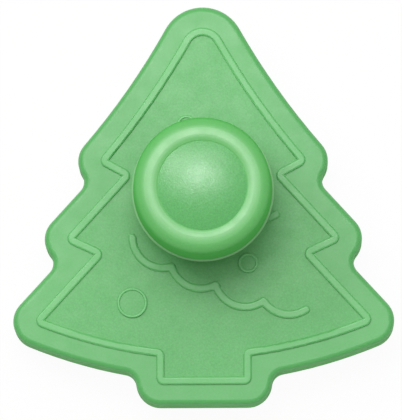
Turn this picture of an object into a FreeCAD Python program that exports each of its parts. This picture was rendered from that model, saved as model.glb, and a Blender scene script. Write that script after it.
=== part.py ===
import FreeCAD, Part
import math
import os
from types import SimpleNamespace

import Sketcher

# Driving dimensions in mm. Drops are measured down the tree from its crown.
DRIVING_SIZES = {
    # tree figure, on the middle of its raised line
    "tree_height": 61.0,
    "crown_radius": 3.1,
    "upper_side_radius": 130.0,
    "upper_tip_half": 17.5,
    "upper_tip_drop": 22.6,
    "upper_notch_inset": 4.4,
    "upper_notch_dip": 2.4,
    "middle_tip_half": 23.4,
    "middle_tip_drop": 36.2,
    "middle_notch_inset": 5.4,
    "middle_notch_dip": 2.5,
    "lower_tip_half": 28.95,
    "lower_tip_drop": 50.55,
    "lower_edge_radius": 82.0,
    "lower_edge_dip": 5.55,
    "trunk_half": 7.6,
    # raised figure
    "line_width": 1.4,
    "line_bend": 0.6,
    "relief_height": 0.5,
    "relief_round": 0.35,
    "ring_round": 0.2,
    "relief_root": 0.5,
    "scallop_radius": 5.4,
    "cusp_round": 0.35,
    "ball_ring": 0.5,
    "ball_dish": 0.25,
    "large_ball_radius": 2.65,
    "small_ball_radius": 1.75,
    # cutter body
    "rim_reach": 4.3,
    "notch_round": 2.3,
    "wall": 1.6,
    "edge_land": 0.5,
    "bevel_height": 2.5,
    "plate_top": 16.0,
    "plate_thick": 2.3,
    "plate_round": 1.0,
    "collar_wall": 2.44,
    "collar_height": 7.0,
    "pad_height": 0.6,
    "pad_margin": 0.9,
    # stamp and stem
    "plunger_offset": 2.2,
    "stroke": 10.0,
    "stamp_clearance": 0.35,
    "stamp_gap": 0.3,
    "stamp_thick": 2.4,
    "stamp_relief": 1.0,
    "stem_radius": 4.0,
    "running_fit": 0.06,
    "seat_fit": 0.05,
    "foot_radius": 8.0,
    "foot_thick": 1.5,
    "spigot_step": 0.75,
    "spigot_height": 2.8,
    # knob and cap
    "knob_clear": 0.9,
    "lip_radius": 12.4,
    "lip_height": 0.9,
    "lip_edge": 0.55,
    "lip_width": 0.3,
    "side_draft": 0.2,
    "shoulder_round": 2.4,
    "crest_reach": 2.95,
    "crest_round": 4.5,
    "recess_slope": 1.15,
    "recess_dip": 0.25,
    "recess_depth": 2.4,
    "knob_wall": 1.75,
    "ceiling_thick": 2.0,
    "post_wall": 1.8,
    "post_clear": 0.6,
    "web_thick": 2.8,
    "cap_rise": 1.35,
    "cap_skirt": 1.4,
    "cap_hollow": 1.2,
    # screw, washer and spring
    "screw_radius": 1.4,
    "screw_length": 11.5,
    "screw_point": 1.2,
    "head_radius": 2.8,
    "head_height": 2.0,
    "head_round": 0.8,
    "head_room": 0.9,
    "cross_width": 0.7,
    "cross_span": 3.0,
    "cross_depth": 1.1,
    "hole_play": 0.25,
    "washer_radius": 3.6,
    "washer_thick": 0.5,
    "washer_play": 0.6,
    "wire_radius": 0.5,
    "spring_play": 0.6,
    "spring_gap": 0.3,
    "end_pitch": 1.5,
    "active_turns": 6.0,
}

# Two heights or points closer than this, in mm, are the same.
SAME = 1e-4

# Places in the figure as shares of the tree's height: across from the middle, down from the crown.
LOWER_GARLAND = ((-0.203, 0.590), (-0.0915, 0.6735), (0.0345, 0.726), (0.171, 0.7725), (0.293, 0.7975))
UPPER_GARLAND = ((-0.1525, 0.378), (-0.041, 0.4485), (0.086, 0.4965), (0.2085, 0.525))
LARGE_BALL = (-0.2045, 0.776)
SMALL_BALL = (0.128, 0.6635)
CROWN_BALL = (-0.0465, 0.268)


class Size:
    """A number together with the sheet expression that it comes from."""

    def __init__(self, text, value):
        self.text = text
        self.value = value

    def join(self, sign, other, value):
        text = other.text if isinstance(other, Size) else repr(other)
        return Size("(%s %s %s)" % (self.text, sign, text), value)

    def __add__(self, other):
        return self.join("+", other, self.value + number(other))

    def __sub__(self, other):
        return self.join("-", other, self.value - number(other))

    def __mul__(self, other):
        return self.join("*", other, self.value * number(other))

    def __truediv__(self, other):
        return self.join("/", other, self.value / number(other))

    def __neg__(self):
        return Size("(-1 * %s)" % self.text, -self.value)

    def root(self):
        return Size("sqrt(%s)" % self.text, math.sqrt(self.value))


NOUGHT = Size("0", 0.0)


def number(item):
    return item.value if isinstance(item, Size) else item


def make_sheet(doc):
    """Puts the driving dimensions in the sheet, and hands them back by name."""
    sheet = doc.addObject("Spreadsheet::Sheet", "Sizes")
    for row, (name, value) in enumerate(DRIVING_SIZES.items(), start=1):
        sheet.set("A%d" % row, name)
        sheet.set("B%d" % row, str(value))
        sheet.setAlias("B%d" % row, name)
    doc.recompute()
    return SimpleNamespace(**{name: Size("Sizes." + name, sheet.get(name)) for name in DRIVING_SIZES})


def work_out(s):
    """Adds the sizes that follow from the driving ones; heights are above the cutting edge."""
    s.crown = s.tree_height / 2
    s.bore_radius = s.stem_radius + s.running_fit
    s.collar_radius = s.bore_radius + s.collar_wall
    s.coil_radius = s.collar_radius + s.spring_play + s.wire_radius
    s.pad_radius = s.coil_radius + s.wire_radius + s.pad_margin
    s.plate_under = s.plate_top - s.plate_thick
    s.stamp_top = s.plate_under - s.stamp_gap
    s.stamp_under = s.stamp_top - s.stamp_thick
    s.foot_under = s.plate_under - s.foot_thick
    s.spigot_radius = s.stem_radius - s.spigot_step
    s.pad_top = s.plate_top + s.pad_height
    s.lip_under = s.plate_top + s.relief_height + s.stroke + s.knob_clear
    s.post_under = s.plate_top + s.collar_height + s.stroke + s.post_clear
    s.web_under = s.post_under + s.spigot_height
    s.web_top = s.web_under + s.web_thick
    s.head_under = s.web_top + s.washer_thick
    s.head_top = s.head_under + s.head_height
    s.recess_floor = s.head_top + s.head_room
    s.crest = s.recess_floor + s.recess_depth
    s.ceiling = s.recess_floor - s.ceiling_thick
    s.skirt_radius = s.lip_radius - s.lip_width
    s.side_radius = s.skirt_radius - s.side_draft
    s.crest_radius = s.side_radius - s.crest_reach
    s.recess_radius = s.crest_radius - s.recess_slope
    s.recess_edge = s.crest - s.recess_dip
    s.cap_radius = s.recess_radius - s.seat_fit
    s.washer_pocket = s.washer_radius + s.washer_play
    s.post_radius = s.washer_pocket + s.post_wall
    s.pilot_radius = s.screw_radius + s.seat_fit
    s.screw_hole = s.screw_radius + s.hole_play
    s.screw_end = s.head_under - s.screw_length
    s.coil_start = s.pad_top + s.wire_radius
    s.coil_end = s.ceiling - s.spring_gap - s.wire_radius


def bind(item, **sizes):
    """Ties properties of a document object to sizes; base_x, base_y and base_z are its position."""
    for name, size in sizes.items():
        path = "Placement.Base." + name[-1] if name.startswith("base_") else name
        item.setExpression(path, size.text)


class Arc:
    """An edge that bulges to the right (+1) or left (-1) of the way it is drawn."""

    def __init__(self, radius, side):
        self.radius = radius
        self.side = side


def arc_middle(start, end, radius, side):
    chord = end - start
    half = chord.Length / 2
    rise = radius - math.sqrt(max(radius * radius - half * half, 0.0))
    right = FreeCAD.Vector(chord.y, -chord.x, 0).normalize()
    return (start + end) * 0.5 + right * rise * side


def arc_radius(reach, rise):
    """Radius of an arc that starts level and climbs or falls by rise over reach."""
    return (reach * reach + rise * rise) / (rise * 2)


def pin(sketch, geometry, vertex, x, y):
    """Holds a vertex at x and y from the sketch's origin."""
    for kind, size, axis in (("DistanceX", x, -2), ("DistanceY", y, -1)):
        if size is NOUGHT:
            sketch.addConstraint(Sketcher.Constraint("PointOnObject", geometry, vertex, axis))
            continue
        ends = (-1, 1, geometry, vertex)
        if size.value < 0:
            ends = (geometry, vertex, -1, 1)
            size = -size
        index = sketch.addConstraint(Sketcher.Constraint(kind, *ends, size.value))
        sketch.setExpression("Constraints[%d]" % index, size.text)


def set_radius(sketch, geometry, radius):
    index = sketch.addConstraint(Sketcher.Constraint("Radius", geometry, radius.value))
    sketch.setExpression("Constraints[%d]" % index, radius.text)


def draw(sketch, points, edges, closed=True):
    """Draws lines (None) and arcs through points; returns (geometry, start, end) for each edge.

    A point given in sizes is held there. A point given in plain numbers is a smooth join.
    """
    spots = [FreeCAD.Vector(number(x), number(y), 0) for x, y in points]
    drawn = []
    for index, edge in enumerate(edges):
        start = spots[index]
        end = spots[(index + 1) % len(spots)]
        if edge is None:
            geometry = sketch.addGeometry(Part.LineSegment(start, end), False)
            drawn.append((geometry, 1, 2))
            continue
        middle = arc_middle(start, end, edge.radius.value, edge.side)
        geometry = sketch.addGeometry(Part.Arc(start, middle, end), False)
        turned = sketch.getPoint(geometry, 1).distanceToPoint(start) > SAME
        drawn.append((geometry, 2, 1) if turned else (geometry, 1, 2))
    for index, (geometry, start, end) in enumerate(drawn):
        if index + 1 < len(drawn) or closed:
            after, after_start, _ = drawn[(index + 1) % len(drawn)]
            held = isinstance(points[(index + 1) % len(points)][0], Size)
            kind = "Coincident" if held else "Tangent"
            sketch.addConstraint(Sketcher.Constraint(kind, geometry, end, after, after_start))
        if isinstance(points[index][0], Size):
            pin(sketch, geometry, start, *points[index])
        if edges[index] is not None:
            set_radius(sketch, geometry, edges[index].radius)
    if not closed:
        geometry, _, end = drawn[-1]
        pin(sketch, geometry, end, *points[-1])
    return drawn


def crown_join(s):
    """Where the hollow side of the upper tier runs smoothly into the round crown."""
    centre = FreeCAD.Vector(0, s.crown.value - s.crown_radius.value, 0)
    tip = FreeCAD.Vector(s.upper_tip_half.value, s.crown.value - s.upper_tip_drop.value, 0)
    span = tip - centre
    side = s.upper_side_radius.value
    far = side + s.crown_radius.value
    along = (span.Length ** 2 + far ** 2 - side ** 2) / (2 * span.Length)
    aside = math.sqrt(far ** 2 - along ** 2)
    ahead = FreeCAD.Vector(span).normalize()
    to_side_centre = ahead * along + FreeCAD.Vector(-ahead.y, ahead.x, 0) * aside
    return centre + to_side_centre.normalize() * s.crown_radius.value


def tree_outline(doc, s):
    """The tree figure: a round crown, three tiers with notches, bowed lower edges and a trunk."""
    corners = [
        (s.upper_tip_half, s.crown - s.upper_tip_drop),
        (s.upper_tip_half - s.upper_notch_inset, s.crown - s.upper_tip_drop - s.upper_notch_dip),
        (s.middle_tip_half, s.crown - s.middle_tip_drop),
        (s.middle_tip_half - s.middle_notch_inset, s.crown - s.middle_tip_drop - s.middle_notch_dip),
        (s.lower_tip_half, s.crown - s.lower_tip_drop),
        (s.trunk_half, s.crown - s.lower_tip_drop - s.lower_edge_dip),
        (s.trunk_half, -s.crown),
    ]
    join = crown_join(s)
    left = [(-x, y) for x, y in reversed(corners)]
    points = [(-join.x, join.y), (join.x, join.y)] + corners + left
    hollow = Arc(s.upper_side_radius, 1)
    bowed = Arc(s.lower_edge_radius, -1)
    right_edges = [hollow, None, None, None, None, bowed, None]
    edges = [Arc(s.crown_radius, -1)] + right_edges + [None] + right_edges[::-1]
    sketch = doc.addObject("Sketcher::SketchObject", "tree_outline")
    drawn = draw(sketch, points, edges)
    pin(sketch, drawn[0][0], 3, NOUGHT, s.crown - s.crown_radius)
    return sketch


def figure_place(s, share):
    across, down = share
    return s.tree_height * across, s.crown - s.tree_height * down


def offset(doc, name, source, value):
    """A closed line at a distance from another; corners that open are joined by arcs."""
    item = doc.addObject("Part::Offset2D", name)
    item.Source = source
    item.Join = "Arc"
    item.Mode = "Pipe"
    bind(item, Value=value)
    return item


def extrude(doc, name, source, bottom, height):
    item = doc.addObject("Part::Extrusion", name)
    item.Base = source
    item.DirMode = "Custom"
    item.Dir = FreeCAD.Vector(0, 0, 1)
    item.Solid = True
    bind(item, LengthFwd=height, base_z=bottom)
    return item


def cylinder(doc, name, radius, bottom, height, x, y):
    item = doc.addObject("Part::Cylinder", name)
    bind(item, Radius=radius, Height=height, base_x=x, base_y=y, base_z=bottom)
    return item


def cut(doc, name, base, tool):
    item = doc.addObject("Part::Cut", name)
    item.Base = base
    item.Tool = tool
    return item


def fuse(doc, name, shapes):
    item = doc.addObject("Part::MultiFuse", name)
    item.Shapes = shapes
    return item


def round_level(doc, name, base, radius, level):
    """Rounds every edge of base that lies flat at one height."""
    doc.recompute()
    picked = []
    for index, edge in enumerate(base.Shape.Edges, start=1):
        box = edge.BoundBox
        if abs(box.ZMin - level.value) < SAME and abs(box.ZMax - level.value) < SAME:
            picked.append((index, radius.value, radius.value))
    item = doc.addObject("Part::Fillet", name)
    item.Base = base
    item.Edges = picked
    return item


def figure_outlines(doc, s):
    """Flat outlines of what is raised: both sides of the tree's line, two garlands and three balls."""
    tree = tree_outline(doc, s)
    reach = s.line_bend + s.line_width / 2
    shrunk = offset(doc, "line_shrunk", tree, -s.line_bend)
    grown = offset(doc, "line_grown", tree, s.line_bend)
    garlands = {}
    for name, shares in (("lower_garland", LOWER_GARLAND), ("upper_garland", UPPER_GARLAND)):
        line = doc.addObject("Sketcher::SketchObject", name + "_line")
        points = [figure_place(s, share) for share in shares]
        draw(line, points, [Arc(s.scallop_radius, 1)] * (len(points) - 1), closed=False)
        swell = offset(doc, name + "_swell", line, s.line_width / 2 + s.cusp_round)
        garlands[name] = offset(doc, name + "_band", swell, -s.cusp_round)
    balls = {
        "large_ball": (s.large_ball_radius, figure_place(s, LARGE_BALL)),
        "small_ball": (s.small_ball_radius, figure_place(s, SMALL_BALL)),
        "crown_ball": (s.small_ball_radius, figure_place(s, CROWN_BALL)),
    }
    return SimpleNamespace(
        tree=tree,
        line_outer=offset(doc, "line_outer", shrunk, reach),
        line_inner=offset(doc, "line_inner", grown, -reach),
        garlands=garlands,
        balls=balls,
    )


def raised_figure(doc, s, place, figure, face, height, upward):
    """The figure as solids that stand on a face, rooted in it and rounded where they end."""
    full = height + s.relief_root
    bottom = face - s.relief_root if upward else face - height
    end = face + height if upward else bottom
    line = cut(doc, place + "_line",
               extrude(doc, place + "_line_block", figure.line_outer, bottom, full),
               extrude(doc, place + "_line_hole", figure.line_inner, bottom, full))
    raised = [(line, s.relief_round)]
    for name, band in figure.garlands.items():
        raised.append((extrude(doc, place + "_" + name, band, bottom, full), s.relief_round))
    for name, (radius, (x, y)) in figure.balls.items():
        label = place + "_" + name
        disc = cylinder(doc, label + "_disc", radius, bottom, full, x, y)
        dish_bottom = end - s.ball_dish if upward else end
        dish = cylinder(doc, label + "_dish", radius - s.ball_ring, dish_bottom, s.ball_dish, x, y)
        raised.append((cut(doc, label, disc, dish), s.ring_round))
    return [round_level(doc, item.Name + "_soft", item, radius, end) for item, radius in raised]


def cutter_body(doc, s, figure, rim):
    """Top plate and side wall in one, with the raised figure, the stem's collar and the spring's pad."""
    block = extrude(doc, "shell_block", rim, s.bevel_height, s.plate_top - s.bevel_height)
    slope = (s.wall - s.edge_land) / s.bevel_height
    bind(block, LengthRev=s.bevel_height, TaperAngleRev=Size("-atan(%s)" % slope.text, 0.0))
    shell = round_level(doc, "shell_soft", block, s.plate_round, s.plate_top)
    cavity_line = offset(doc, "cavity_line", rim, -s.wall)
    cavity = extrude(doc, "cavity", cavity_line, NOUGHT, s.plate_under)
    tray = cut(doc, "tray", shell, cavity)
    root = s.plate_top - s.relief_root
    collar_block = cylinder(doc, "collar_block", s.collar_radius, root,
                            s.relief_root + s.collar_height, NOUGHT, s.plunger_offset)
    collar = round_level(doc, "collar", collar_block, s.ring_round, s.plate_top + s.collar_height)
    pad_block = cylinder(doc, "pad_block", s.pad_radius, root, s.relief_root + s.pad_height,
                         NOUGHT, s.plunger_offset)
    pad = round_level(doc, "pad", pad_block, s.ring_round, s.pad_top)
    raised = raised_figure(doc, s, "plate", figure, s.plate_top, s.relief_height, True)
    moulding = fuse(doc, "moulding", [tray, pad, collar] + raised)
    bore = cylinder(doc, "bore", s.bore_radius, NOUGHT, s.plate_top + s.collar_height * 2,
                    NOUGHT, s.plunger_offset)
    return cut(doc, "cutter_body", moulding, bore)


def stamp_plate(doc, s, figure, rim):
    """Plate that fits in the wall, with the figure on its underside and a seat for the stem's foot."""
    edge = offset(doc, "stamp_edge", rim, -(s.wall + s.stamp_clearance))
    blank = extrude(doc, "stamp_blank", edge, s.stamp_under, s.stamp_thick)
    raised = raised_figure(doc, s, "stamp", figure, s.stamp_under, s.stamp_relief, False)
    moulding = fuse(doc, "stamp_moulding", [blank] + raised)
    seat = cylinder(doc, "foot_seat", s.foot_radius + s.seat_fit, s.foot_under,
                    s.stamp_top - s.foot_under, NOUGHT, s.plunger_offset)
    return cut(doc, "stamp_plate", moulding, seat)


def plane_sketch(body, name, role):
    """A sketch on one of the body's own origin planes."""
    plane = [item for item in body.Origin.OriginFeatures if item.Role == role][0]
    sketch = body.newObject("Sketcher::SketchObject", name)
    sketch.AttachmentSupport = (plane, [""])
    sketch.MapMode = "FlatFace"
    return sketch


def turned_body(doc, s, name, points, arcs=()):
    """A body turned about the plunger's axis; arcs are the numbers and arcs of the edges that are round."""
    body = doc.addObject("PartDesign::Body", name)
    sketch = plane_sketch(body, name + "_profile", "XZ_Plane")
    edges = [None] * len(points)
    for index, arc in arcs:
        edges[index] = arc
    draw(sketch, points, edges)
    turn = body.newObject("PartDesign::Revolution", name + "_turn")
    turn.Profile = sketch
    turn.ReferenceAxis = (sketch, ["V_Axis"])
    turn.Angle = 360
    bind(body, base_y=s.plunger_offset)
    doc.recompute()
    return body


def plunger_stem(doc, s):
    points = [
        (NOUGHT, s.foot_under),
        (s.foot_radius, s.foot_under),
        (s.foot_radius, s.plate_under),
        (s.stem_radius, s.plate_under),
        (s.stem_radius, s.post_under),
        (s.spigot_radius, s.post_under),
        (s.spigot_radius, s.web_under),
        (s.pilot_radius, s.web_under),
        (s.pilot_radius, s.screw_end - s.screw_point),
        (NOUGHT, s.screw_end - s.screw_point),
    ]
    return turned_body(doc, s, "plunger_stem", points)


def press_knob(doc, s):
    """Cup with a lip, a recess for the cap and a post that takes the stem.

    The broad round of the crest runs smoothly into the smaller one of the shoulder.
    """
    inner_round = arc_radius(s.recess_slope, s.recess_dip)
    between = s.crest_round - s.shoulder_round
    lean = (s.crest_reach - s.shoulder_round) / between
    upright = (-(lean * lean) + 1).root()
    points = [
        (s.skirt_radius - s.knob_wall, s.lip_under),
        (s.lip_radius, s.lip_under),
        (s.lip_radius, s.lip_under + s.lip_edge),
        (s.skirt_radius, s.lip_under + s.lip_height),
        (s.side_radius, s.crest - s.crest_round + between * upright),
        (s.crest_radius + s.crest_round * lean, s.crest - s.crest_round + s.crest_round * upright),
        (s.crest_radius, s.crest),
        (s.recess_radius, s.recess_edge),
        (s.recess_radius, s.recess_floor),
        (s.washer_pocket, s.recess_floor),
        (s.washer_pocket, s.web_top),
        (s.screw_hole, s.web_top),
        (s.screw_hole, s.web_under),
        (s.spigot_radius + s.seat_fit, s.web_under),
        (s.spigot_radius + s.seat_fit, s.post_under),
        (s.post_radius, s.post_under),
        (s.post_radius, s.ceiling),
        (s.side_radius - s.knob_wall, s.ceiling),
    ]
    rounds = [(4, s.shoulder_round), (5, s.crest_round), (6, inner_round)]
    return turned_body(doc, s, "press_knob", points, [(edge, Arc(radius, 1)) for edge, radius in rounds])


def knob_cap(doc, s):
    """Domed disc with a short skirt, level with the crest's inner slope at its edge."""
    dome = arc_radius(s.cap_radius, s.cap_rise)
    points = [
        (NOUGHT, s.recess_floor + s.cap_hollow),
        (s.cap_radius - s.cap_skirt, s.recess_floor + s.cap_hollow),
        (s.cap_radius - s.cap_skirt, s.recess_floor),
        (s.cap_radius, s.recess_floor),
        (s.cap_radius, s.recess_edge),
        (NOUGHT, s.recess_edge + s.cap_rise),
    ]
    return turned_body(doc, s, "knob_cap", points, [(4, Arc(dome, 1))])


def screw_washer(doc, s):
    hole = s.screw_radius + s.hole_play
    points = [
        (hole, s.web_top),
        (s.washer_radius, s.web_top),
        (s.washer_radius, s.head_under),
        (hole, s.head_under),
    ]
    return turned_body(doc, s, "screw_washer", points)


def knob_screw(doc, s):
    """Pan-head screw with a cross recess."""
    points = [
        (NOUGHT, s.screw_end),
        (s.screw_radius, s.screw_end + s.screw_point),
        (s.screw_radius, s.head_under),
        (s.head_radius, s.head_under),
        (s.head_radius, s.head_top - s.head_round),
        (s.head_radius - s.head_round, s.head_top),
        (NOUGHT, s.head_top),
    ]
    body = turned_body(doc, s, "knob_screw", points, [(4, Arc(s.head_round, 1))])
    sketch = plane_sketch(body, "cross_recess", "XY_Plane")
    sketch.setExpression("AttachmentOffset.Base.z", s.head_top.text)
    near = s.cross_width / 2
    far = s.cross_span / 2
    arm = [(far, -near), (far, near), (near, near)]
    quarter_turns = [lambda x, y: (x, y), lambda x, y: (-y, x), lambda x, y: (-x, -y), lambda x, y: (y, -x)]
    points = [turn(x, y) for turn in quarter_turns for x, y in arm]
    draw(sketch, points, [None] * len(points))
    pocket = body.newObject("PartDesign::Pocket", "cross_pocket")
    pocket.Profile = sketch
    bind(pocket, Length=s.cross_depth)
    return body


def biarc(start, start_way, end, end_way):
    """Two arcs that leave start and reach end along the given ways."""
    chord = end - start
    ways = start_way + end_way
    spread = 2 * (1 - start_way.dot(end_way))
    lean = chord.dot(ways)
    reach = (math.sqrt(lean ** 2 + spread * chord.dot(chord)) - lean) / spread
    first_corner = start + start_way * reach
    last_corner = end - end_way * reach
    middle = (first_corner + last_corner) * 0.5
    arcs = []
    for near, corner, far in ((start, first_corner, middle), (middle, last_corner, end)):
        foot = (near + far) * 0.5
        half = (far - near).Length / 2
        rise = corner - foot
        swell = half * math.tan(math.atan2(rise.Length, half) / 2)
        arcs.append(Part.Arc(near, foot + rise.normalize() * swell, far).toShape())
    return arcs


def coil_height(turns, s):
    """Height of the wire's middle after some turns: a close turn at each end, open ones between."""
    total = s.active_turns.value + 2
    length = s.coil_end.value - s.coil_start.value
    open_pitch = (length - 2 * s.end_pitch.value) / s.active_turns.value
    if turns <= 1:
        return s.coil_start.value + turns * s.end_pitch.value
    if turns >= total - 1:
        return s.coil_end.value - (total - turns) * s.end_pitch.value
    return s.coil_start.value + s.end_pitch.value + (turns - 1) * open_pitch


def return_spring(doc, s):
    """One unbroken wire, a quarter turn at a time."""
    quarters = int(round((s.active_turns.value + 2) * 4))
    radius = s.coil_radius.value
    spots = []
    ways = []
    for step in range(quarters + 1):
        angle = step * math.pi / 2
        ahead = FreeCAD.Vector(-math.sin(angle), math.cos(angle), 0) * radius
        spots.append(FreeCAD.Vector(ahead.y, -ahead.x, coil_height(step / 4, s)))
        before = coil_height(max(step - 1, 0) / 4, s)
        after = coil_height(min(step + 1, quarters) / 4, s)
        slope = (after - before) / (math.pi / 2 * (min(step + 1, quarters) - max(step - 1, 0)))
        ways.append(FreeCAD.Vector(ahead.x, ahead.y, slope).normalize())
    arcs = []
    for step in range(quarters):
        arcs += biarc(spots[step], ways[step], spots[step + 1], ways[step + 1])
    path = Part.Wire(arcs)
    ring = Part.Wire(Part.makeCircle(s.wire_radius.value, spots[0], ways[0]))
    print("least gap between coils %.2f mm" % least_gap(arcs, s.wire_radius.value))
    spring = doc.addObject("Part::Feature", "return_spring")
    spring.Shape = path.makePipeShell([ring], True, False)
    bind(spring, base_y=s.plunger_offset)
    return spring


def least_gap(arcs, wire_radius):
    """Smallest clear distance between parts of the wire that are more than half a turn apart."""
    spots = [point for arc in arcs for point in arc.discretize(5)[:-1]]
    half_turn = 16
    nearest = min(
        spots[i].distanceToPoint(spots[j])
        for i in range(len(spots))
        for j in range(i + half_turn, len(spots))
    )
    return nearest - 2 * wire_radius


def check(doc):
    """Stops the build where an object failed."""
    for item in doc.Objects:
        if "Invalid" in item.State or "Error" in item.State:
            raise RuntimeError("%s failed: %s" % (item.Name, item.State))
        if hasattr(item, "Shape") and item.isDerivedFrom("Part::Feature"):
            if item.Shape.isNull() or not item.Shape.isValid():
                raise RuntimeError("%s has a bad shape" % item.Name)


def main():
    doc = FreeCAD.newDocument("plunger_cutter")
    s = make_sheet(doc)
    work_out(s)
    figure = figure_outlines(doc, s)
    swell = offset(doc, "rim_swell", figure.tree, s.rim_reach + s.notch_round)
    rim = offset(doc, "rim_line", swell, -s.notch_round)
    nodes = [
        cutter_body(doc, s, figure, rim),
        stamp_plate(doc, s, figure, rim),
        plunger_stem(doc, s),
        press_knob(doc, s),
        knob_cap(doc, s),
        screw_washer(doc, s),
        knob_screw(doc, s),
        return_spring(doc, s),
    ]
    doc.recompute()
    check(doc)
    os.makedirs("parts", exist_ok=True)
    for node in nodes:
        node.Label = node.Name
        node.Shape.exportStep("parts/%s.step" % node.Name)
        print("%-14s solids %d volume %9.2f %s" % (
            node.Name, len(node.Shape.Solids), node.Shape.Volume, node.Shape.BoundBox))


main()
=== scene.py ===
"""Looks of a spring plunger cookie cutter: moulded green plastic, steel spring, white table."""

import logging
import math
from collections.abc import Sequence
from dataclasses import dataclass
from enum import Enum, IntEnum
from typing import ClassVar

import bmesh
import bpy
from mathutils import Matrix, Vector
from mathutils.kdtree import KDTree


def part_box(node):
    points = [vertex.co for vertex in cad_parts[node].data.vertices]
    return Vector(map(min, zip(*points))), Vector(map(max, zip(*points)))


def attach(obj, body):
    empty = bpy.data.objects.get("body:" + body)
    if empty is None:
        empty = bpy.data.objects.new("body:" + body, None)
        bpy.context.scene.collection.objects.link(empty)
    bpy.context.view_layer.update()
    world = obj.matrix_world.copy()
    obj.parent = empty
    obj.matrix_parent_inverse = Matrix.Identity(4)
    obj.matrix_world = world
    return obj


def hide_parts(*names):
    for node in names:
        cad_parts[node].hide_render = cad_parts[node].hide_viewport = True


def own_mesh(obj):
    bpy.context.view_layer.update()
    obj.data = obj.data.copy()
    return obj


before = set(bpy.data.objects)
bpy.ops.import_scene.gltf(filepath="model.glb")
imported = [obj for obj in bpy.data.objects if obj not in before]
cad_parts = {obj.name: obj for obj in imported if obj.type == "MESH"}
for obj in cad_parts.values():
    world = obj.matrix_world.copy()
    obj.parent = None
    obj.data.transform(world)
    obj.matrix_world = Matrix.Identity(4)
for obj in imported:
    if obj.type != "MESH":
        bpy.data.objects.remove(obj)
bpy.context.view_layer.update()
MILLIMETRE = 0.001
MICROMETRE = 0.000001
PLATE_TOP = 16.0 * MILLIMETRE
UP = Vector((0, 0, 1))
LOG = logging.getLogger("plunger_cutter")

Colour = tuple[float, float, float, float]
Point = tuple[float, float, float]
Range = tuple[float, float]
Socket = bpy.types.NodeSocket

# The curve of display colours: straight up to its bend, and a power from there on.
CURVE_BEND = 0.04045
CURVE_SLOPE = 12.92
CURVE_OFFSET = 0.055
CURVE_POWER = 2.4


class Slot(Enum):
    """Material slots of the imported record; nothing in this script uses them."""

    SPRING_STEEL = "spring_steel"
    CAP_PLASTIC = "cap_plastic"


class Carrier(Enum):
    """Bodies that new pieces ride on."""

    CUTTER = "cutter"
    PLUNGER = "plunger"


class BodySkin(IntEnum):
    """Finishes of the cutter's body, in the order of its material slots."""

    BODY = 0
    PLATE = 1
    WALL = 2
    LINE = 3
    RING = 4


class KnobSkin(IntEnum):
    """Finishes of the knob, in the order of its material slots."""

    SIDE = 0
    LIP = 1


class CapSkin(IntEnum):
    """Finishes of the cap, in the order of its material slots."""

    DOME = 0
    EDGE = 1


class LampShape(Enum):
    """Outlines that a lamp's face can have."""

    PANEL = "RECTANGLE"
    ROUND = "ELLIPSE"


def srgb(red: int, green: int, blue: int) -> Colour:
    """Turns a display colour into the linear one that shaders use.

    Args:
        red: Red from 0 to 255.
        green: Green from 0 to 255.
        blue: Blue from 0 to 255.

    Returns:
        The linear colour with full alpha.
    """

    def straighten(level: int) -> float:
        """Undoes the display curve for one channel.

        Args:
            level: Level from 0 to 255.

        Returns:
            The linear value from 0 to 1.
        """
        share = level / 255
        if share <= CURVE_BEND:
            return share / CURVE_SLOPE
        return ((share + CURVE_OFFSET) / (1 + CURVE_OFFSET)) ** CURVE_POWER

    return (straighten(red), straighten(green), straighten(blue), 1.0)


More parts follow.
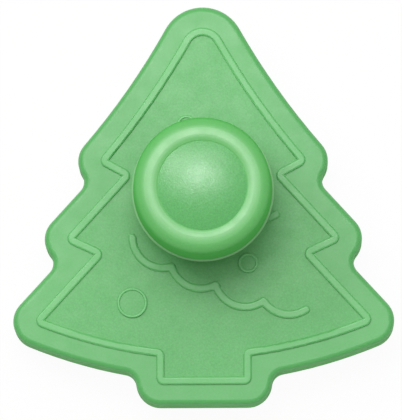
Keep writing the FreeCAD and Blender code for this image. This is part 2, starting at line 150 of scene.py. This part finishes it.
class Shader:
    """A material under construction, with a principled surface at its end.

    Attributes:
        noise_middle: Range of a noise in which most of its values lie.
    """

    noise_middle: ClassVar[Range] = (0.3, 0.7)

    def __init__(self, name: str) -> None:
        """Starts a material that has only its surface and output.

        Args:
            name: Name of the material.
        """
        self.material = bpy.data.materials.new(name)
        self.material.use_nodes = True
        self.tree = self.material.node_tree
        self.tree.nodes.clear()
        self.surface = self.add("ShaderNodeBsdfPrincipled")
        self.output = self.add("ShaderNodeOutputMaterial")
        self.link(self.surface.outputs["BSDF"], self.output.inputs["Surface"])
        self.place = self.add("ShaderNodeTexCoord").outputs["Object"]

    def add(self, kind: str, **settings: object) -> bpy.types.Node:
        """Adds a node.

        Args:
            kind: Blender's type name of the node.
            **settings: Properties of the node to set.

        Returns:
            The new node.
        """
        node = self.tree.nodes.new(kind)
        for name, value in settings.items():
            setattr(node, name, value)
        return node

    def link(self, start: Socket, end: Socket) -> None:
        """Joins an output to an input."""
        self.tree.links.new(start, end)

    def set(self, **values: object) -> None:
        """Sets constant values on the surface; underscores in the names stand for spaces."""
        for name, value in values.items():
            self.surface.inputs[name.replace("_", " ")].default_value = value

    def noise(self, size: float, detail: float = 3.0, stretch: Point = (1, 1, 1)) -> Socket:
        """Adds noise in the object's own space.

        Args:
            size: Size of a typical spot, in metres.
            detail: Number of finer octaves.
            stretch: Factors on the coordinates along x, y and z.

        Returns:
            The noise as a value from 0 to 1.
        """
        mapping = self.add("ShaderNodeMapping")
        mapping.inputs["Scale"].default_value = stretch
        self.link(self.place, mapping.inputs["Vector"])
        noise = self.add("ShaderNodeTexNoise")
        noise.inputs["Scale"].default_value = 1 / size
        noise.inputs["Detail"].default_value = detail
        self.link(mapping.outputs["Vector"], noise.inputs["Vector"])
        return noise.outputs["Fac"]

    def rings(self, node: str, size: float) -> Socket:
        """Adds noise that changes only with the distance from a node's upright axis.

        Args:
            node: Name of the node.
            size: Width of a typical ring, in metres.

        Returns:
            The noise as a value from 0 to 1.
        """
        low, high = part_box(node)
        axis = (low + high) / 2
        flat = self.add("ShaderNodeVectorMath", operation="MULTIPLY")
        flat.inputs[1].default_value = (1, 1, 0)
        self.link(self.place, flat.inputs[0])
        reach = self.add("ShaderNodeVectorMath", operation="DISTANCE")
        reach.inputs[1].default_value = (axis.x, axis.y, 0)
        self.link(flat.outputs["Vector"], reach.inputs[0])
        noise = self.add("ShaderNodeTexNoise", noise_dimensions="1D")
        noise.inputs["Scale"].default_value = 1 / size
        self.link(reach.outputs["Value"], noise.inputs["W"])
        return noise.outputs["Fac"]

    def ramp(self, value: Socket, old: Range, new: Range, **settings: object) -> Socket:
        """Maps one range of values to another.

        Args:
            value: Value to map.
            old: Ends of the range that is mapped.
            new: Results at those ends.
            **settings: Properties of the node to set.

        Returns:
            The mapped value.
        """
        node = self.add("ShaderNodeMapRange", **settings)
        for name, limit in zip(("From Min", "From Max", "To Min", "To Max"), (*old, *new)):
            node.inputs[name].default_value = limit
        self.link(value, node.inputs["Value"])
        return node.outputs["Result"]

    def spread(self, value: Socket, low: float, high: float) -> Socket:
        """Maps the middle range of a noise to values from low to high."""
        return self.ramp(value, self.noise_middle, (low, high))

    def mottle(self, colour: Colour, layers: Sequence[tuple[Socket, float]]) -> None:
        """Gives the surface a colour that is lighter and darker in spots.

        Args:
            colour: Linear middle colour.
            layers: Noises, each with its share of lightening and darkening.
        """
        factor = None
        for value, share in layers:
            step = self.spread(value, 1 - share, 1 + share)
            if factor is None:
                factor = step
                continue
            product = self.add("ShaderNodeMath", operation="MULTIPLY")
            self.link(factor, product.inputs[0])
            self.link(step, product.inputs[1])
            factor = product.outputs["Value"]
        tint = self.add("ShaderNodeVectorMath", operation="SCALE")
        tint.inputs[0].default_value = colour[:3]
        self.link(factor, tint.inputs["Scale"])
        self.link(tint.outputs["Vector"], self.surface.inputs["Base Color"])

    def bump(self, layers: Sequence[tuple[Socket, float]], lean: float = 1.0) -> None:
        """Gives the surface a relief.

        Args:
            layers: Heights from 0 to 1, each with its depth in metres.
            lean: Share of its slope with which the surface takes the light.
        """
        before = self.eased(lean) if lean < 1 else None
        for value, depth in layers:
            relief = self.add("ShaderNodeBump")
            relief.inputs["Distance"].default_value = depth
            self.link(value, relief.inputs["Height"])
            if before is not None:
                self.link(before, relief.inputs["Normal"])
            before = relief.outputs["Normal"]
        self.link(before, self.surface.inputs["Normal"])

    def eased(self, lean: float) -> Socket:
        """Adds the surface's direction with its slope made gentler, as light that spreads in plastic does.

        Args:
            lean: Share of the slope that stays.

        Returns:
            The direction.
        """
        blend = self.add("ShaderNodeVectorMath", operation="MULTIPLY_ADD")
        self.link(self.add("ShaderNodeNewGeometry").outputs["Normal"], blend.inputs[0])
        blend.inputs[1].default_value = (lean, lean, lean)
        blend.inputs[2].default_value = (0, 0, 1 - lean)
        even = self.add("ShaderNodeVectorMath", operation="NORMALIZE")
        self.link(blend.outputs["Vector"], even.inputs[0])
        return even.outputs["Vector"]

    def rise(self, heights: Range, values: Range) -> Socket:
        """Adds a value that changes with the height in the object's own space.

        Args:
            heights: Heights where the change starts and ends, in metres.
            values: Values below and above those heights.

        Returns:
            The value.
        """
        parts = self.add("ShaderNodeSeparateXYZ")
        self.link(self.place, parts.inputs["Vector"])
        return self.ramp(parts.outputs["Z"], heights, values, interpolation_type="SMOOTHSTEP")


@dataclass(frozen=True)
class MouldedPlastic:
    """Satin plastic straight from a mould: flow shades, fine grain and a soft gloss.

    Attributes:
        name: Name of the material.
        colour: Linear colour.
        roughness: Middle roughness.
        gloss: Strength of the gloss, where plain plastic has 0.5.
        grain: Size of the grain, in metres.
        grain_depth: Depth of the grain, in metres.
        shade: Share by which the grain lightens and darkens the colour.
        flow: Share by which the broad flow marks lighten and darken the colour.
        lean: Share of its slope with which the surface takes the light.
        turning: Depth of the fine rings round the knob's axis, in metres.
        polish: Heights between which the gloss grows from dull to full, in metres, where it does.
        ior: Refractive index.
        ripple_width: Width of the ripples, in grains.
        ripple_depth: Depth of the ripples, in depths of the grain.
        flow_size: Width of the flow marks, in metres.
        flow_stretch: Factors that squeeze the flow marks along x, y and z.
        ring_width: Width of the rings round the knob's axis, in metres.
        unevenness: How far the roughness strays from its middle.
    """

    ior: ClassVar[float] = 1.49
    ripple_width: ClassVar[float] = 8.0
    ripple_depth: ClassVar[float] = 2.0
    flow_size: ClassVar[float] = 18.0 * MILLIMETRE
    flow_stretch: ClassVar[Point] = (1.0, 0.45, 1.0)
    ring_width: ClassVar[float] = 0.3 * MILLIMETRE
    unevenness: ClassVar[float] = 0.04

    name: str
    colour: Colour
    roughness: float
    gloss: float
    grain: float
    grain_depth: float
    shade: float
    flow: float
    lean: float = 1.0
    turning: float = 0.0
    polish: Range | None = None

    def material(self) -> bpy.types.Material:
        """Builds the material.

        Returns:
            The material.
        """
        shader = Shader(self.name)
        grain = shader.noise(self.grain)
        ripple = shader.noise(self.grain * self.ripple_width, detail=2.0)
        flow = shader.noise(self.flow_size, detail=4.0, stretch=self.flow_stretch)
        shader.mottle(self.colour, [(grain, self.shade), (flow, self.flow)])
        relief = [(ripple, self.grain_depth * self.ripple_depth), (grain, self.grain_depth)]
        if self.turning:
            relief.append((shader.rings("press_knob", self.ring_width), self.turning))
        shader.bump(relief, self.lean)
        dull = shader.spread(ripple, self.roughness - self.unevenness, self.roughness + self.unevenness)
        shader.link(dull, shader.surface.inputs["Roughness"])
        shader.set(IOR=self.ior, Specular_IOR_Level=self.gloss)
        if self.polish:
            worn = shader.rise(self.polish, (0.0, self.gloss))
            shader.link(worn, shader.surface.inputs["Specular IOR Level"])
        return shader.material


@dataclass(frozen=True)
class Steel:
    """Bare or plated steel with fine marks along one way.

    Attributes:
        name: Name of the material.
        colour: Linear colour.
        roughness: Middle roughness.
        marks: Factors that squeeze the marks along x, y and z.
        mark_size: Width of the marks, in metres.
        mark_depth: Depth of the marks, in metres.
        mark_shade: Share by which the marks lighten and darken the colour.
        stain_size: Width of the stains, in metres.
        stain_shade: Share by which the stains lighten and darken the colour.
        stain_dulling: Least and largest change of the roughness by the stains.
    """

    mark_size: ClassVar[float] = 0.6 * MILLIMETRE
    mark_depth: ClassVar[float] = 2.0 * MICROMETRE
    mark_shade: ClassVar[float] = 0.06
    stain_size: ClassVar[float] = 3.0 * MILLIMETRE
    stain_shade: ClassVar[float] = 0.08
    stain_dulling: ClassVar[Range] = (-0.06, 0.08)

    name: str
    colour: Colour
    roughness: float
    marks: Point

    def material(self) -> bpy.types.Material:
        """Builds the material.

        Returns:
            The material.
        """
        shader = Shader(self.name)
        marks = shader.noise(self.mark_size, detail=4.0, stretch=self.marks)
        stain = shader.noise(self.stain_size)
        shader.mottle(self.colour, [(marks, self.mark_shade), (stain, self.stain_shade)])
        shader.bump([(marks, self.mark_depth)])
        least, most = self.stain_dulling
        dull = shader.spread(stain, self.roughness + least, self.roughness + most)
        shader.link(dull, shader.surface.inputs["Roughness"])
        shader.set(Metallic=1.0)
        return shader.material


GREEN = srgb(94, 180, 100)
DEEP_GREEN = srgb(86, 182, 84)
KNOB_GREEN = srgb(91, 186, 91)
# Lighter green of the raised lines: a painted highlight for the light that their tops catch.
LINE_HIGHLIGHT_GREEN = srgb(101, 188, 107)
# Paler green of the balls' rings: a painted highlight for the light that the rings catch.
RING_HIGHLIGHT_GREEN = srgb(108, 194, 114)
# Pale green of the knob's lip: a painted highlight for the light that its edge catches.
LIP_HIGHLIGHT_GREEN = srgb(138, 202, 137)
KNOB_POLISH = (43.5 * MILLIMETRE, 44.95 * MILLIMETRE)
BODY_PLASTIC = MouldedPlastic(
    "body_plastic", GREEN, roughness=0.36, gloss=0.52,
    grain=0.4 * MILLIMETRE, grain_depth=4.0 * MICROMETRE, shade=0.03, flow=0.03,
)
LINE_PLASTIC = MouldedPlastic(
    "line_plastic", LINE_HIGHLIGHT_GREEN, roughness=0.36, gloss=0.58,
    grain=0.4 * MILLIMETRE, grain_depth=4.0 * MICROMETRE, shade=0.03, flow=0.03, lean=0.62,
)
RING_PLASTIC = MouldedPlastic(
    "ring_plastic", RING_HIGHLIGHT_GREEN, roughness=0.36, gloss=0.6,
    grain=0.4 * MILLIMETRE, grain_depth=2.0 * MICROMETRE, shade=0.02, flow=0.03,
)
WALL_PLASTIC = MouldedPlastic(
    "wall_plastic", DEEP_GREEN, roughness=0.58, gloss=0.06,
    grain=0.4 * MILLIMETRE, grain_depth=6.0 * MICROMETRE, shade=0.05, flow=0.07,
)
PLATE_PLASTIC = MouldedPlastic(
    "plate_plastic", GREEN, roughness=0.34, gloss=0.42,
    grain=0.3 * MILLIMETRE, grain_depth=8.0 * MICROMETRE, shade=0.085, flow=0.05,
)
KNOB_PLASTIC = MouldedPlastic(
    "knob_plastic", KNOB_GREEN, roughness=0.5, gloss=1.65,
    grain=0.4 * MILLIMETRE, grain_depth=4.0 * MICROMETRE, shade=0.03, flow=0.03,
    turning=2.0 * MICROMETRE, polish=KNOB_POLISH,
)
LIP_PLASTIC = MouldedPlastic(
    "lip_plastic", LIP_HIGHLIGHT_GREEN, roughness=0.45, gloss=0.3,
    grain=0.4 * MILLIMETRE, grain_depth=2.0 * MICROMETRE, shade=0.02, flow=0.03,
)
CAP_PLASTIC = MouldedPlastic(
    "cap_plastic_matt", GREEN, roughness=0.33, gloss=0.9,
    grain=0.28 * MILLIMETRE, grain_depth=26.0 * MICROMETRE, shade=0.12, flow=0.03,
)
SPRING_STEEL = Steel("spring_wire", srgb(176, 178, 180), roughness=0.28, marks=(1.0, 1.0, 4.0))
SCREW_STEEL = Steel("zinc_plate", srgb(190, 194, 198), roughness=0.34, marks=(1.0, 1.0, 6.0))


def finished(finish: MouldedPlastic | Steel) -> bpy.types.Material:
    """Hands back a finish's material, built at its first use."""
    return bpy.data.materials.get(finish.name) or finish.material()


def dress(node: str, *finishes: MouldedPlastic | Steel) -> bpy.types.Object:
    """Puts finishes on a node of the frame in place of its plain material.

    Args:
        node: Name of the node.
        *finishes: Finishes in the order of the object's material slots.

    Returns:
        The node's object.
    """
    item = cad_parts[node]
    item.data.materials.clear()
    for finish in finishes:
        item.data.materials.append(finished(finish))
    LOG.info("%s dressed in %s", node, ", ".join(finish.name for finish in finishes))
    return item


def meshed(shape: bmesh.types.BMesh, name: str) -> bpy.types.Mesh:
    """Turns a shape into a mesh whose faces look outwards.

    Args:
        shape: Shape to turn into a mesh; it is freed.
        name: Name of the mesh.

    Returns:
        The mesh.
    """
    mesh = bpy.data.meshes.new(name)
    bmesh.ops.recalc_face_normals(shape, faces=shape.faces)
    shape.to_mesh(mesh)
    shape.free()
    return mesh


def placed(name: str, data: bpy.types.ID) -> bpy.types.Object:
    """Makes an object and puts it in the scene.

    Args:
        name: Name of the object.
        data: Mesh, lamp or camera of the object.

    Returns:
        The new object.
    """
    item = bpy.data.objects.new(name, data)
    bpy.context.scene.collection.objects.link(item)
    return item


@dataclass
class CutterBody:
    """Top plate and wall of the cutter, and the stamp that works inside it.

    Attributes:
        plate_top: Height of the plate's upper face, in metres.
        inside: A point of the plate inside the raised tree line, across and along, in metres.
        level: How far a face may lie from the plate's height, in metres.
        figure: Height of the raised figure above the plate, with some room, in metres.
        steep: Largest upward share of a face's direction on the wall.
        dish: Height of the dishes in the balls above the plate, in metres.
        flat: Smallest upward share of a face's direction in a dish.
        ring: How far the raised ring of a ball reaches from its dish, in metres.
    """

    plate_top: float = PLATE_TOP
    inside: tuple[float, float] = (0.0, -0.02)
    level: float = 0.02 * MILLIMETRE
    figure: float = 0.52 * MILLIMETRE
    steep: float = 0.25
    dish: float = 0.25 * MILLIMETRE
    flat: float = 0.999
    ring: float = 0.8 * MILLIMETRE

    def build(self) -> None:
        """Dresses the body and the stamp."""
        body = dress("cutter_body", BODY_PLASTIC, PLATE_PLASTIC, WALL_PLASTIC, LINE_PLASTIC, RING_PLASTIC)
        for index in self.inner_faces(body.data):
            body.data.polygons[index].material_index = BodySkin.PLATE
        dishes = self.dish_corners(body.data)
        for face in body.data.polygons:
            height = face.center.z - self.plate_top
            if self.in_dish(face):
                face.material_index = BodySkin.PLATE
            elif self.level < height < self.figure:
                _, _, distance = dishes.find(face.center)
                # Raised lines and the balls' rings get lighter greens than the plate: painted highlights.
                face.material_index = BodySkin.RING if distance < self.ring else BodySkin.LINE
            elif height < self.level and face.normal.z < self.steep:
                face.material_index = BodySkin.WALL
        dress("stamp_plate", BODY_PLASTIC)

    def in_dish(self, face: bpy.types.MeshPolygon) -> bool:
        """Tells whether a face is the flat bottom of a ball's dish."""
        height = face.center.z - self.plate_top
        return abs(height - self.dish) < self.level and face.normal.z > self.flat

    def dish_corners(self, mesh: bpy.types.Mesh) -> KDTree:
        """Gathers the corners of the balls' dishes.

        Args:
            mesh: Mesh of the cutter's body.

        Returns:
            A finder of the nearest corner.
        """
        numbers = {number for face in mesh.polygons if self.in_dish(face) for number in face.vertices}
        finder = KDTree(len(numbers))
        for number in numbers:
            finder.insert(mesh.vertices[number].co, number)
        finder.balance()
        return finder

    def inner_faces(self, mesh: bpy.types.Mesh) -> list[int]:
        """Finds the duller field inside the raised line.

        Args:
            mesh: Mesh of the cutter's body.

        Returns:
            Numbers of the faces that join up with the inside point at the plate's height.
        """
        shape = bmesh.new()
        shape.from_mesh(mesh)
        spot = Vector((*self.inside, self.plate_top))
        flat = {face for face in shape.faces if self.on_plate(face)}
        start = min(flat, key=lambda face: (face.calc_center_median() - spot).length)
        found = {start}
        waiting = [start]
        while waiting:
            face = waiting.pop()
            beside = {other for edge in face.edges for other in edge.link_faces}
            fresh = (beside & flat) - found
            found |= fresh
            waiting.extend(fresh)
        numbers = [face.index for face in found]
        shape.free()
        return numbers

    def on_plate(self, face: bmesh.types.BMFace) -> bool:
        """Tells whether a face is part of the plate's upper face."""
        return all(abs(corner.co.z - self.plate_top) < self.level for corner in face.verts)


@dataclass
class Plunger:
    """Stem, knob, screw and washer, which slide together with the cap.

    Attributes:
        lip_top: Height of the lip's upper edge, in metres.
    """

    lip_top: float = 28.31 * MILLIMETRE

    def build(self) -> None:
        """Dresses the plunger's pieces."""
        dress("plunger_stem", BODY_PLASTIC)
        knob = dress("press_knob", KNOB_PLASTIC, LIP_PLASTIC)
        # The lip's upward faces take a pale green: a painted highlight along the knob's lower edge.
        for face in knob.data.polygons:
            if face.normal.z > 0 and face.center.z < self.lip_top:
                face.material_index = KnobSkin.LIP
        dress("knob_screw", SCREW_STEEL)
        dress("screw_washer", SCREW_STEEL)


@dataclass
class KnobCap:
    """Domed cap in the knob's recess, with a thin edge that lies on the rim's inner slope.

    Attributes:
        rise: Height of the frame's dome above the recess's edge, in metres.
        lift: Height of the step at the dome's edge above the recess's edge, in metres.
        step_height: Height of that step, in metres.
        step_width: Width of that step, in metres.
        skirt: Width of the skirt that stands in the recess, in metres.
        hollow: Height of the hollow under the dome, in metres.
        slope_reach: Distance of the rim's crest from the recess, in metres.
        slope_dip: Fall of the rim from its crest to the recess, in metres.
        seat_fit: Play of the cap in the recess, in metres.
        steps: Number of points along the dome.
        sides: Number of sides round the axis.
    """

    rise: float = 1.35 * MILLIMETRE
    lift: float = 0.09 * MILLIMETRE
    step_height: float = 0.1 * MILLIMETRE
    step_width: float = 0.22 * MILLIMETRE
    skirt: float = 1.4 * MILLIMETRE
    hollow: float = 1.2 * MILLIMETRE
    slope_reach: float = 1.15 * MILLIMETRE
    slope_dip: float = 0.25 * MILLIMETRE
    seat_fit: float = 0.05 * MILLIMETRE
    steps: int = 24
    sides: int = 144

    def profile(self) -> list[Vector]:
        """Works out the cap's section from the box of the frame's own cap.

        Returns:
            Points (reach, height) from the top's middle round to the hollow's middle.
        """
        low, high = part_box("knob_cap")
        reach = (high.x - low.x) / 2
        edge = high.z - self.rise
        crease = Vector((reach, edge + self.lift - self.step_height))
        brow = Vector((reach + self.step_width, edge + self.lift))
        climb = high.z - crease.y
        dome = (reach**2 + climb**2) / (2 * climb)
        slope = (self.slope_reach**2 + self.slope_dip**2) / (2 * self.slope_dip)
        crest = Vector((reach + self.seat_fit + self.slope_reach, edge + self.slope_dip))
        points = []
        for step in range(self.steps):
            across = reach * step / self.steps
            points.append(Vector((across, high.z - dome + math.sqrt(dome**2 - across**2))))
        return points + [
            crease,
            brow,
            self.touch(brow, crest - Vector((0, slope)), slope),
            Vector((reach, edge - self.slope_dip)),
            Vector((reach, low.z)),
            Vector((reach - self.skirt, low.z)),
            Vector((reach - self.skirt, low.z + self.hollow)),
            Vector((0, low.z + self.hollow)),
        ]

    @staticmethod
    def touch(point: Vector, middle: Vector, radius: float) -> Vector:
        """Finds where a straight line from a point runs smoothly onto the top of a circle.

        Args:
            point: Start of the line, left of the circle's middle.
            middle: Middle of the circle.
            radius: Radius of the circle.

        Returns:
            The place where line and circle touch.
        """
        span = point - middle
        angle = math.atan2(span.y, span.x) - math.acos(radius / span.length)
        return middle + Vector((math.cos(angle), math.sin(angle))) * radius

    def build(self) -> bpy.types.Object:
        """Turns the section about the knob's axis and puts the cap in place of the frame's own.

        Returns:
            The cap's object.
        """
        points = self.profile()
        low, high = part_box("knob_cap")
        axis = (low + high) / 2
        shape = bmesh.new()
        rings = [self.ring(shape, axis, point) for point in points]
        for number, (inner, outer) in enumerate(zip(rings, rings[1:])):
            for side in range(self.sides):
                after = (side + 1) % self.sides
                corners = [inner[side], outer[side], outer[after], inner[after]]
                face = shape.faces.new(list(dict.fromkeys(corners)))
                face.smooth = True
                on_edge = number in (self.steps, self.steps + 1)
                face.material_index = CapSkin.EDGE if on_edge else CapSkin.DOME
        for ring in rings[self.steps:-1]:
            corners = set(ring)
            for edge in {edge for corner in ring for edge in corner.link_edges}:
                edge.smooth = not set(edge.verts) <= corners
        mesh = meshed(shape, "domed_cap")
        cap = placed("domed_cap", mesh)
        for finish in (CAP_PLASTIC, KNOB_PLASTIC):
            mesh.materials.append(finished(finish))
        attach(cap, Carrier.PLUNGER.value)
        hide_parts("knob_cap")
        LOG.info("domed_cap built with %d rings", len(rings))
        return cap

    def ring(self, shape: bmesh.types.BMesh, axis: Vector, point: Vector) -> list[bmesh.types.BMVert]:
        """Adds one ring of the cap, or a single point on the axis given for every side.

        Args:
            shape: Mesh under construction.
            axis: A point on the knob's axis.
            point: Reach and height of the ring.

        Returns:
            The ring's corners in order.
        """
        if point.x == 0:
            return [shape.verts.new((axis.x, axis.y, point.y))] * self.sides
        corners = []
        for side in range(self.sides):
            angle = side * math.tau / self.sides
            across = axis.x + point.x * math.cos(angle)
            along = axis.y + point.x * math.sin(angle)
            corners.append(shape.verts.new((across, along, point.y)))
        return corners


@dataclass
class ReturnSpring:
    """Compression spring between the plate's pad and the knob.

    Attributes:
        wire_radius: Radius of the wire, in metres.
        end_pitch: Rise of the close turn at each end, in metres.
        open_turns: Number of open turns.
        sides: Number of sides of the wire.
        steps: Number of rings in a turn.
        stroke_share: Share of the spring's height that is left at full stroke; not used.
    """

    wire_radius: float = 0.5 * MILLIMETRE
    end_pitch: float = 1.5 * MILLIMETRE
    open_turns: int = 6
    sides: int = 20
    steps: int = 56
    stroke_share: float = 14.0 / 24.0

    def height(self, turns: float, length: float) -> float:
        """Gives how high the wire has climbed.

        Args:
            turns: Turns from the lower end.
            length: Whole climb, in metres.

        Returns:
            Height above the wire's start, in metres.
        """
        total = self.open_turns + 2
        pitch = (length - 2 * self.end_pitch) / self.open_turns
        close_below = min(turns, 1)
        close_above = max(turns - (total - 1), 0)
        return (close_below + close_above) * self.end_pitch + (turns - close_below - close_above) * pitch

    def centreline(self) -> list[Vector]:
        """Works out the wire's middle line from the frame's own spring.

        Returns:
            Points a step apart, from the lower end to the upper one.
        """
        low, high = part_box("return_spring")
        axis = (low + high) / 2
        radius = (high.x - low.x) / 2 - self.wire_radius
        length = high.z - low.z - 2 * self.wire_radius
        total = (self.open_turns + 2) * self.steps
        points = []
        for step in range(total + 1):
            angle = step * math.tau / self.steps
            rise = self.height(step / self.steps, length)
            reach = Vector((math.cos(angle), math.sin(angle), 0)) * radius
            points.append(Vector((axis.x, axis.y, low.z + self.wire_radius + rise)) + reach)
        return points

    def build(self) -> bpy.types.Object:
        """Makes the wire, puts it in place of the frame's spring and ties it to the cutter.

        Returns:
            The spring's object.
        """
        points = self.centreline()
        shape = bmesh.new()
        rings = []
        for index, point in enumerate(points):
            ahead = (points[min(index + 1, len(points) - 1)] - points[max(index - 1, 0)]).normalized()
            rings.append(self.ring(shape, point, ahead))
        for lower, upper in zip(rings, rings[1:]):
            for side in range(self.sides):
                after = (side + 1) % self.sides
                shape.faces.new((lower[side], lower[after], upper[after], upper[side]))
        shape.faces.new(rings[0][::-1])
        shape.faces.new(rings[-1])
        mesh = meshed(shape, "spring_wire")
        for face in mesh.polygons:
            face.use_smooth = len(face.vertices) == 4
        spring = placed("spring_wire", mesh)
        mesh.materials.append(finished(SPRING_STEEL))
        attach(spring, Carrier.CUTTER.value)
        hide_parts("return_spring")
        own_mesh(spring)
        LOG.info("spring_wire built with %d rings", len(rings))
        return spring

    def ring(self, shape: bmesh.types.BMesh, middle: Vector, ahead: Vector) -> list[bmesh.types.BMVert]:
        """Adds one ring of the wire.

        Args:
            shape: Mesh under construction.
            middle: Middle of the ring.
            ahead: Way of the wire there.

        Returns:
            The ring's corners in order.
        """
        across = ahead.cross(UP).normalized()
        above = across.cross(ahead)
        corners = []
        for side in range(self.sides):
            angle = side * math.tau / self.sides
            reach = across * math.cos(angle) + above * math.sin(angle)
            corners.append(shape.verts.new(middle + reach * self.wire_radius))
        return corners


@dataclass(frozen=True)
class Softbox:
    """A flat lamp that faces straight down.

    Attributes:
        name: Name of the lamp.
        shape: Outline of the lamp's face.
        centre: Place of the face's middle, in metres.
        width: Extent of the face across the tree, in metres.
        depth: Extent of the face along the tree, in metres.
        brightness: Brightness of the face, where white paper in plain light has 1.
    """

    name: str
    shape: LampShape
    centre: Point
    width: float
    depth: float
    brightness: float

    def build(self) -> bpy.types.Object:
        """Hangs the lamp.

        Returns:
            The lamp's object.
        """
        lamp = bpy.data.lights.new(self.name, "AREA")
        lamp.shape = self.shape.value
        lamp.size = self.width
        lamp.size_y = self.depth
        filled = math.pi / 4 if self.shape is LampShape.ROUND else 1.0
        lamp.energy = self.brightness * math.pi * self.width * self.depth * filled
        item = placed(self.name, lamp)
        item.location = self.centre
        LOG.info("%s hung", self.name)
        return item


SOFT_LAMP = Softbox(
    "soft_lamp", LampShape.PANEL, centre=(-0.05, 0.28, 0.73), width=0.76, depth=0.62, brightness=2.05
)
LEFT_LAMP = Softbox(
    "left_lamp", LampShape.ROUND, centre=(-0.42, 0.34, 0.725), width=0.24, depth=0.24, brightness=8.0
)
LAMP_CORE = Softbox(
    "lamp_core", LampShape.ROUND, centre=(-0.045, 0.15, 0.72), width=0.2, depth=0.2, brightness=12.2
)


@dataclass
class Studio:
    """White table and soft light.

    Attributes:
        floor_half: Half the side of the table, in metres.
        floor_white: Share of plain white in how the table looks; the rest is its own shading.
        floor_colour: Linear colour of the table.
        floor_roughness: Roughness of the table.
        ambient: Strength of the even light from all round.
    """

    floor_half: float = 3.0
    floor_white: float = 0.95
    floor_colour: Colour = (0.98, 0.98, 0.98, 1.0)
    floor_roughness: float = 0.9
    ambient: float = 0.34

    def build(self) -> None:
        """Makes the table and the light."""
        self.table()
        self.world()
        for lamp in (SOFT_LAMP, LEFT_LAMP, LAMP_CORE):
            lamp.build()
        bpy.context.scene.view_settings.view_transform = "Standard"
        LOG.info("studio built")

    def table(self) -> None:
        """Makes the white table that keeps the cutter's shadow."""
        half = self.floor_half
        mesh = bpy.data.meshes.new("table")
        corners = [(-half, -half, 0), (half, -half, 0), (half, half, 0), (-half, half, 0)]
        mesh.from_pydata(corners, [], [(0, 1, 2, 3)])
        table = placed("table", mesh)
        shader = Shader("white_table")
        shader.set(Base_Color=self.floor_colour, Roughness=self.floor_roughness)
        glow = shader.add("ShaderNodeEmission")
        blend = shader.add("ShaderNodeMixShader")
        share = shader.add("ShaderNodeMath", operation="MULTIPLY")
        share.inputs[1].default_value = self.floor_white
        shader.link(self.seen(shader), share.inputs[0])
        shader.link(share.outputs["Value"], blend.inputs["Fac"])
        shader.link(shader.surface.outputs["BSDF"], blend.inputs[1])
        shader.link(glow.outputs["Emission"], blend.inputs[2])
        shader.link(blend.outputs["Shader"], shader.output.inputs["Surface"])
        mesh.materials.append(shader.material)

    @staticmethod
    def seen(shader: Shader) -> Socket:
        """Adds a test for rays that show the table.

        Args:
            shader: Material to add the test to.

        Returns:
            A value of 1 for camera, glossy and transmission rays, and 0 for others.
        """
        path = shader.add("ShaderNodeLightPath")
        value = path.outputs["Is Camera Ray"]
        for name in ("Is Glossy Ray", "Is Transmission Ray"):
            larger = shader.add("ShaderNodeMath", operation="MAXIMUM")
            shader.link(value, larger.inputs[0])
            shader.link(path.outputs[name], larger.inputs[1])
            value = larger.outputs["Value"]
        return value

    def world(self) -> None:
        """Makes the even light."""
        world = bpy.data.worlds.new("room")
        world.use_nodes = True
        bpy.context.scene.world = world
        background = world.node_tree.nodes["Background"]
        background.inputs["Color"].default_value = (1, 1, 1, 1)
        background.inputs["Strength"].default_value = self.ambient


@dataclass
class Viewpoint:
    """Camera nearly straight above the plate.

    Attributes:
        frame_pixels: Width and height of the picture.
        pixel: Size of a pixel at the plate, in metres.
        origin_pixel: Pixel on which the middle of the tree falls.
        plate_top: Height of the plate, in metres.
        distance: Distance of the camera from the plate, in metres.
        lean_down: Angle of the camera from straight above towards the trunk, in degrees.
        lean_right: Angle of the camera towards the right, in degrees.
        roll: Turn of the picture about its middle, in degrees.
        sensor: Side of the sensor, in millimetres.
    """

    frame_pixels: tuple[int, int] = (402, 420)
    pixel: float = 0.1746 * MILLIMETRE
    origin_pixel: tuple[float, float] = (203.2, 206.15)
    plate_top: float = PLATE_TOP
    distance: float = 3.0
    lean_down: float = 2.7
    lean_right: float = 0.3
    roll: float = -0.25
    sensor: float = 36.0

    def build(self) -> bpy.types.Object:
        """Makes the camera and puts it in the scene.

        Returns:
            The camera's object.
        """
        width, height = self.frame_pixels
        data = bpy.data.cameras.new("camera")
        data.sensor_width = self.sensor
        data.lens = self.sensor * self.distance / (max(width, height) * self.pixel)
        camera = placed("camera", data)
        across = (width / 2 - self.origin_pixel[0]) * self.pixel
        along = (self.origin_pixel[1] - height / 2) * self.pixel
        aim = Vector((across, along, self.plate_top))
        turns = (self.lean_down, self.lean_right, self.roll)
        camera.rotation_euler = [math.radians(angle) for angle in turns]
        back = camera.rotation_euler.to_matrix() @ UP
        camera.location = aim + back * self.distance
        bpy.context.scene.camera = camera
        LOG.info("camera at %s", tuple(round(value, 4) for value in camera.location))
        return camera


def main() -> None:
    """Builds the cutter's pieces, the studio and the camera."""
    logging.basicConfig(level=logging.INFO, format="%(name)s: %(message)s")
    Viewpoint().build()
    CutterBody().build()
    Plunger().build()
    KnobCap().build()
    ReturnSpring().build()
    Studio().build()


if __name__ == "__main__":
    main()
